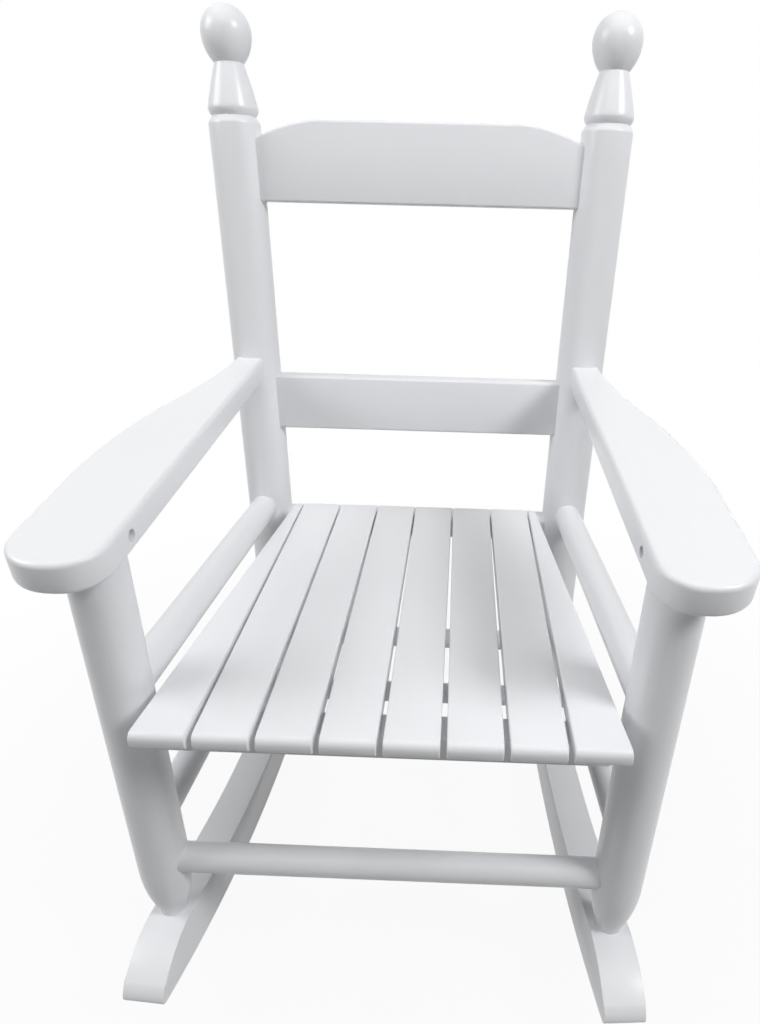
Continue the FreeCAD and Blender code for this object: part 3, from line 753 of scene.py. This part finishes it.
@dataclass
class Rungs:
    """The round rungs between the posts."""

    lines: Lines
    across: bpy.types.Material
    deep: bpy.types.Material
    socket_depth: float = 0.010
    side_rail_radius: float = 0.011
    side_rail_drops: Flat = (0.010, 0.0185)
    side_stretcher_radius: float = 0.010
    side_stretcher_drops: Flat = (0.113, 0.121)
    cross_radius: float = 0.0095
    front_seat_drop: float = 0.032
    front_stretcher_drop: float = 0.1435
    rear_stretcher_drop: float = 0.162
    centre_radius: float = 0.008
    centre_socket: float = 0.007
    end_ease: float = 0.0015
    faces_round: int = 56
    rings: int = 12
    end_rings: int = 4

    def bar(self, name: str, start: Vector, end: Vector, radius: float, insets: Flat) -> Piece:
        """Turns a rung between two axis points.

        Args:
            name: The new piece's name.
            start: The first axis point.
            end: The last axis point.
            radius: The rung's radius.
            insets: How far its ends stay from those points.

        Returns:
            The rung, in its place.
        """
        way = (end - start).normalized()
        length = (end - start).length - insets[0] - insets[1]
        straight = length - 2 * self.end_ease
        profile = [(0.0, 0.0), (radius - self.end_ease, 0.0)]
        profile += sweep(profile[-1], (radius, self.end_ease), self.end_ease, self.end_rings)
        for ring in range(1, self.rings + 1):
            profile.append((radius, self.end_ease + straight * ring / self.rings))
        profile += sweep(profile[-1], (radius - self.end_ease, length), self.end_ease, self.end_rings)
        profile.append((0.0, length))
        piece = lathe(name, profile, self.faces_round)
        put(piece, aim(start + way * insets[0], way))
        return piece

    def front_point(self, drop: float) -> Vector:
        """The right front post's axis point at a drop below the seat's height."""
        return self.lines.front_axis().at_height(self.lines.seat_height - drop)

    def rear_point(self, drop: float) -> Vector:
        """The right rear post's axis point at a drop below the seat's height."""
        return self.lines.rear_axis().at_height(self.lines.seat_height - drop)

    def build(self) -> None:
        """Turns every rung and paints it."""
        lines = self.lines
        front_inset = lines.front_radius - self.socket_depth
        rear_inset = lines.rear_radius - self.socket_depth
        for role, radius, (front_drop, rear_drop) in (
                ("side_rail", self.side_rail_radius, self.side_rail_drops),
                ("side_stretcher", self.side_stretcher_radius, self.side_stretcher_drops)):
            piece = self.bar(role + "_right_turned", self.front_point(front_drop), self.rear_point(rear_drop),
                             radius, (front_inset, rear_inset))
            dress_pair(piece, role, "turned", self.deep)
        fall = math.tan(lines.seat_slope) * (lines.rear_setback + lines.seat_front)
        rear_seat_drop = lines.slat_thickness + fall + self.cross_radius
        front_drop, rear_drop = self.side_stretcher_drops
        middle = (self.front_point(front_drop) + self.rear_point(rear_drop)) / 2
        centre_inset = self.side_stretcher_radius - self.centre_socket
        cross = self.cross_radius
        for role, end, radius, inset in (
                ("front_seat_rung", self.front_point(self.front_seat_drop), cross, front_inset),
                ("front_stretcher", self.front_point(self.front_stretcher_drop), cross, front_inset),
                ("rear_seat_rung", self.rear_point(rear_seat_drop), cross, rear_inset),
                ("rear_stretcher", self.rear_point(self.rear_stretcher_drop), cross, rear_inset),
                ("centre_stretcher", middle, self.centre_radius, centre_inset)):
            start = Vector((-end.x, end.y, end.z))
            piece = self.bar(role + "_turned", start, end, radius, (inset, inset))
            dress(piece, role, self.across)


@dataclass
class BackBoards:
    """The crest rail and the plain rail below it."""

    lines: Lines
    paint: bpy.types.Material
    thickness: float = 0.018
    edge: float = 0.002
    edge_faces: int = 4
    socket: float = 0.011
    crest_rise: float = 0.2295
    crest_height: float = 0.056
    crest_end_height: float = 0.039
    crest_flat: float = 0.157
    shoulder_radius: float = 0.150
    shoulder_steps: int = 14
    rail_rise: float = 0.052
    rail_height: float = 0.045

    def length(self, low: float, high: float) -> float:
        """The length of a board that reaches into both rear posts over a range of heights."""
        width = self.lines.rear_axis().at_height((low + high) / 2).x * 2
        return width - 2 * self.lines.rear_radius + 2 * self.socket

    def place(self, low: float) -> Matrix:
        """The place of a board whose lower edge is at a height."""
        foot = self.lines.rear_axis().at_height(low)
        turn = Matrix.Rotation(math.radians(90) - self.lines.rear_rake, 4, "X")
        middle = Matrix.Translation((0.0, 0.0, -self.thickness / 2))
        return Matrix.Translation((0.0, foot.y, foot.z)) @ turn @ middle

    def crest_outline(self, length: float) -> list[Flat]:
        """The crest rail's outline, with a flat top and rounded shoulders."""
        half, flat = length / 2, self.crest_flat / 2
        right, left = (flat, self.crest_height), (-half, self.crest_end_height)
        outline = [(-half, 0.0), (half, 0.0), (half, self.crest_end_height)]
        outline += sweep(outline[-1], right, self.shoulder_radius, self.shoulder_steps)
        outline.append((-flat, self.crest_height))
        outline += sweep(outline[-1], left, self.shoulder_radius, self.shoulder_steps)
        return outline

    def build(self) -> None:
        """Cuts both boards, rounds their edges and paints them."""
        low = self.lines.seat_height + self.crest_rise
        length = self.length(low, low + self.crest_height)
        crest = board("crest_rail_board", self.crest_outline(length), self.thickness)
        rail_low = self.lines.seat_height + self.rail_rise
        half = self.length(rail_low, rail_low + self.rail_height) / 2
        rail = board("back_rail_board", [
            (-half, 0.0), (half, 0.0), (half, self.rail_height), (-half, self.rail_height)], self.thickness)
        for piece, node, height in ((crest, "crest_rail", low), (rail, "back_rail", rail_low)):
            ease(piece, self.edge, self.edge_faces)
            put(piece, self.place(height))
            dress(piece, node, self.paint)


@dataclass
class Seat:
    """The slats, each with a rounded nose and eased edges."""

    lines: Lines
    paint: bpy.types.Material
    count: int = 8
    length: float = 0.291
    pitch: float = 0.0332
    front_gap: float = 0.0034
    rear_gap: float = 0.0012
    outer_front: float = 0.0299
    outer_rear: float = 0.0063
    outer_corner: float = 0.005
    corner_steps: int = 8
    nose: float = 0.0045
    nose_faces: int = 5
    edge: float = 0.0009
    edge_faces: int = 3

    def outline(self, number: int) -> list[Flat]:
        """The outline of a slat, counted from the left, as seen from above."""
        centre = self.pitch * (number - (self.count + 1) / 2)
        front, rear = (self.pitch - self.front_gap) / 2, (self.pitch - self.rear_gap) / 2
        if number not in (1, self.count):
            return [(centre - front, 0.0), (centre + front, 0.0),
                    (centre + rear, self.length), (centre - rear, self.length)]
        side, bulge = (-1, Bulge.LEFT) if number == 1 else (1, Bulge.RIGHT)
        front_inner, rear_inner = centre - front * side, centre - rear * side
        front_outer, rear_outer = front_inner + side * self.outer_front, rear_inner + side * self.outer_rear
        taper = (front_outer - rear_outer) / self.length
        corner = (rear_outer + taper * self.outer_corner, self.length - self.outer_corner)
        end = (rear_outer - side * self.outer_corner, self.length)
        points = [(front_inner, 0.0), (front_outer, 0.0), corner]
        points += sweep(corner, end, self.outer_corner * CORNER_STRETCH, self.corner_steps, bulge)
        points.append((rear_inner, self.length))
        return points

    def _is_nose(self, one: Vector, two: Vector) -> bool:
        """True for a level edge between two points at the front end."""
        return abs(one.y) + abs(two.y) < LEVEL and abs(one.z - two.z) < LEVEL

    def slat(self, number: int) -> Piece:
        """Cuts one slat.

        Args:
            number: Its place, counted from the left.

        Returns:
            The slat, in its place.
        """
        piece = board("seat_slat_%d_board" % number, self.outline(number), self.lines.slat_thickness)
        round_edges(piece, self.nose, self._is_nose, self.nose_faces)
        ease(piece, self.edge, self.edge_faces)
        put(piece, self.lines.seat_matrix())
        return piece

    def build(self) -> None:
        """Cuts and paints the slats."""
        for number in range(1, self.count + 1):
            dress(self.slat(number), "seat_slat_%d" % number, self.paint)


@dataclass
class Arms:
    """The two paddle arms."""

    lines: Lines
    paint: bpy.types.Material
    length: float = 0.3053
    toe: float = 0.0037
    front_width: float = 0.0506
    wide_width: float = 0.0541
    wide_setback: float = 0.092
    waist_width: float = 0.0368
    waist_setback: float = 0.206
    rear_width: float = 0.019
    flare_radius: float = 0.380
    flare_steps: int = 14
    waist_radius: float = 0.355
    waist_steps: int = 12
    outer_corner: float = 0.027
    outer_steps: int = 14
    inner_corner: float = 0.020
    inner_steps: int = 10
    edge: float = 0.0032
    edge_faces: int = 5
    cope_low: float = 0.30
    cope_high: float = 0.42

    def outline(self) -> list[Flat]:
        """The right arm's outline, from the inner front corner round the outside."""
        inner, outer = self.inner_corner, self.outer_corner
        lean = (self.wide_width - self.front_width) / self.wide_setback
        side = (self.front_width + lean * outer, outer)
        waist = (self.waist_width, self.waist_setback)
        rear = (self.rear_width, self.length)
        points = [(-self.toe * inner / self.length, inner)]
        points += sweep(points[-1], (inner, 0.0), inner * CORNER_STRETCH, self.inner_steps)
        points.append((self.front_width - outer, 0.0))
        points += sweep(points[-1], side, outer * CORNER_STRETCH, self.outer_steps)
        points.append((self.wide_width, self.wide_setback))
        points += sweep(points[-1], waist, self.flare_radius, self.flare_steps)
        points += sweep(points[-1], rear, self.waist_radius, self.waist_steps, Bulge.LEFT)
        points.append((-self.toe, self.length))
        return points

    def build(self) -> None:
        """Cuts the right arm, copes it to its post, drills its pin hole, and makes its twin."""
        lines = self.lines
        arm = board("arm_right_board", self.outline(), lines.arm_thickness)
        ease(arm, self.edge, self.edge_faces)
        put(arm, lines.arm_matrix())
        rear = lines.rear_axis()
        low = rear.at_height(self.cope_low)
        drill(arm, low, rear.at_height(self.cope_high) - low, lines.rear_radius)
        reach = Vector((lines.pin_recess, 0.0, 0.0))
        drill(arm, lines.pin_hole() - reach, reach * 2, lines.pin_radius)
        dress_pair(arm, "arm", "board", self.paint)


@dataclass
class Rockers:
    """The two curved rockers."""

    lines: Lines
    paint: bpy.types.Material
    reach: float = 0.231
    width: float = 0.027
    shoulder_setback: float = 0.056
    shoulder_steps: int = 14
    nose_height: float = 0.009
    nose_radius: float = 0.004
    nose_faces: int = 6
    edge: float = 0.002
    edge_faces: int = 4
    steps: int = 40

    def outline(self) -> list[Flat]:
        """The band between the sole and the upper side, which bends down to a blunt nose at each tip."""
        sole = self.lines.rocker_radius
        top = sole - self.lines.rocker_depth
        fall = math.sqrt(sole ** 2 - self.reach ** 2)
        span = sole - self.nose_height
        nose = (self.reach * span / sole, sole - fall * span / sole)
        shoulder_reach = self.reach - self.shoulder_setback
        shoulder_fall = math.sqrt(top ** 2 - shoulder_reach ** 2)
        along = (shoulder_reach * self.reach + shoulder_fall * fall) * span / (top * sole)
        bend = (span ** 2 - 2 * top * along + top ** 2) / (2 * (along - top))
        shoulder = (shoulder_reach, sole - shoulder_fall)
        points = [(-self.reach, sole - fall)]
        points += sweep(points[-1], (self.reach, sole - fall), sole, self.steps)
        points.append(nose)
        points += sweep(nose, shoulder, bend, self.shoulder_steps)
        points += sweep(shoulder, (-shoulder[0], shoulder[1]), top, self.steps, Bulge.LEFT)
        points += sweep(points[-1], (-nose[0], nose[1]), bend, self.shoulder_steps)
        return points

    def _is_nose(self, one: Vector, two: Vector) -> bool:
        """True for an edge across the board at either tip."""
        tip = self.reach * (1 - self.nose_height / self.lines.rocker_radius) - LEVEL
        across = abs(one.x - two.x) < WELD and abs(one.z - two.z) > self.width / 2
        return abs(one.x) > tip and across

    def build(self) -> None:
        """Cuts the right rocker, rounds its noses and edges, and makes its twin."""
        lines = self.lines
        rear, front = lines.foot(lines.rear_axis()), lines.foot(lines.front_axis())
        splay = math.atan2(front.x - rear.x, rear.y - front.y)
        offset = rear.x + math.tan(splay) * rear.y
        rocker = board("rocker_right_board", self.outline(), self.width)
        round_edges(rocker, self.nose_radius, self._is_nose, self.nose_faces)
        ease(rocker, self.edge, self.edge_faces)
        # The outline was drawn flat: its length turns to Y, its height to Z and its thickness to X.
        upright = Matrix(((0, 0, 1, 0), (1, 0, 0, 0), (0, 1, 0, 0), (0, 0, 0, 1)))
        middle = Matrix.Translation((0.0, 0.0, -self.width / 2))
        turn = Matrix.Rotation(splay, 4, "Z")
        put(rocker, Matrix.Translation((offset, 0.0, 0.0)) @ turn @ upright @ middle)
        dress_pair(rocker, "rocker", "board", self.paint)


@dataclass
class Hardware:
    """The nodes that stay: battens, screws, pins and dowels, with finishes of their own."""

    paint: bpy.types.Material
    steel: bpy.types.Material
    wood: bpy.types.Material

    def finish(self, names: Iterable[str], material: bpy.types.Material) -> None:
        """Gives each named node a finish."""
        for name in names:
            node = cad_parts[name]
            node.data.materials.clear()
            node.data.materials.append(material)
            log.info("%s keeps its shape and gets %s", name, material.name)

    def build(self) -> None:
        """Finishes every node that no piece stands for."""
        self.finish(("seat_batten_front", "seat_batten_rear"), self.paint)
        self.finish(("slat_screws", "rocker_screws", "arm_pins"), self.steel)
        self.finish(("arm_dowels",), self.wood)


# Studio


@dataclass(frozen=True)
class Lamp:
    """A soft square lamp that faces a point, with its power in watts."""

    name: str
    place: Triple
    size: float
    power: float
    colour: Triple = (1.0, 1.0, 1.0)
    target: Triple = (0.0, 0.0, 0.3)

    def hang(self) -> None:
        """Hangs the lamp in its place."""
        data = bpy.data.lights.new(self.name, "AREA")
        data.shape = "SQUARE"
        data.size = self.size
        data.energy = self.power
        data.color = self.colour
        lamp = bpy.data.objects.new(self.name, data)
        bpy.context.scene.collection.objects.link(lamp)
        place = Vector(self.place)
        lamp.matrix_world = aim(place, place - Vector(self.target))


@dataclass(frozen=True)
class Studio:
    """A pale floor, soft lamps, a white surround and the photograph's camera."""

    camera_place: Triple = (0.03462, -0.46204, 0.52410)
    yaw: float = math.radians(-0.9882)
    pitch: float = math.radians(-28.6836)
    roll: float = math.radians(1.3953)
    lens: float = 24.19
    sensor: float = 36.0
    shift: Flat = (-0.0616, 0.0141)
    nearest: float = 0.01
    floor_size: float = 12.0
    floor_tone: Colour = (0.42, 0.42, 0.42, 1.0)
    glow_reach: Flat = (0.2, 0.6)
    glow_share: Flat = (0.94, 1.0)
    surround: float = 0.08
    lamps: tuple[Lamp, ...] = (
        Lamp("top_lamp", (0.0, -0.30, 2.1), 2.4, 11.5),
        Lamp("right_lamp", (1.2, -0.6, 1.45), 0.45, 16.0, (0.99, 0.995, 1.0)),
        Lamp("left_lamp", (-1.37, -0.27, 1.25), 0.75, 12.5, (0.99, 0.995, 1.0)),
        Lamp("fill_lamp", (0.0, -0.28, 1.05), 0.5, 0.6, target=(0.0, 0.12, 0.3)))

    def camera(self) -> None:
        """Sets the camera where the photograph was taken from."""
        data = bpy.data.cameras.new("photo_camera")
        data.lens = self.lens
        data.sensor_width = self.sensor
        data.shift_x, data.shift_y = self.shift
        data.clip_start = self.nearest
        camera = bpy.data.objects.new("photo_camera", data)
        bpy.context.scene.collection.objects.link(camera)
        level = math.cos(self.pitch)
        ahead = Vector((math.sin(self.yaw) * level, math.cos(self.yaw) * level, math.sin(self.pitch)))
        right = Vector((math.cos(self.yaw), -math.sin(self.yaw), 0.0))
        up = right.cross(ahead)
        across = right * math.cos(self.roll) + up * math.sin(self.roll)
        rise = up * math.cos(self.roll) - right * math.sin(self.roll)
        turn = Matrix((across, rise, -ahead)).transposed()
        camera.matrix_world = Matrix.Translation(self.camera_place) @ turn.to_4x4()
        bpy.context.scene.camera = camera

    def seen(self, bench: NodeBench) -> Wire:
        """A value of 1 for rays from the camera, in a mirror or through glass."""
        camera, glossy, clear = (bench.add("ShaderNodeLightPath", output=name) for name in (
            "Is Camera Ray", "Is Glossy Ray", "Is Transmission Ray"))
        return camera.larger(glossy.larger(clear))

    def world(self) -> None:
        """Makes the surround white to the eye and softer as light."""
        made = bpy.data.worlds.new("studio")
        bpy.context.scene.world = made
        made.use_nodes = True
        bench = NodeBench(made.node_tree)
        strength = self.seen(bench) * (1.0 - self.surround) + self.surround
        shader = bench.add("ShaderNodeBackground", {}, {"Color": WHITE, "Strength": strength})
        bench.add("ShaderNodeOutputWorld", {}, {"Surface": shader})

    def floor(self) -> None:
        """Lays a white floor that keeps a faint shadow."""
        deselect()
        bpy.ops.mesh.primitive_plane_add(size=self.floor_size)
        floor = bpy.context.object
        floor.name = "studio_floor"
        made, bench = new_material("studio_floor")
        diffuse = bench.add("ShaderNodeBsdfDiffuse", {}, {"Color": self.floor_tone})
        glow = bench.add("ShaderNodeEmission", {}, {"Color": WHITE, "Strength": 1.0})
        away = bench.add("ShaderNodeVectorMath", {"operation": "LENGTH"}, {0: bench.place()}, output="Value")
        white = self.seen(bench) * bench.ranged(away, self.glow_reach, self.glow_share)
        mixed = bench.add("ShaderNodeMixShader", {}, {0: white, 1: diffuse, 2: glow})
        bench.add("ShaderNodeOutputMaterial", {}, {"Surface": mixed})
        floor.data.materials.append(made)

    def build(self) -> None:
        """Sets floor, light and camera."""
        self.floor()
        self.world()
        for lamp in self.lamps:
            lamp.hang()
        self.camera()
        view = bpy.context.scene.view_settings
        view.view_transform = "Standard"


def main() -> None:
    """Builds the chair's pieces, finishes the nodes that stay, and sets the studio."""
    logging.basicConfig(level=logging.INFO, format="%(name)s: %(message)s")
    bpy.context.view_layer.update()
    lines = Lines()
    across, deep, upright = (Paint(grain).material() for grain in Grain)
    Posts(lines, upright).build()
    Rungs(lines, across, deep).build()
    BackBoards(lines, across).build()
    Seat(lines, deep).build()
    Arms(lines, deep).build()
    Rockers(lines, deep).build()
    Hardware(across, Steel().material(), BareWood().material()).build()
    Studio().build()


if __name__ == "__main__":
    main()
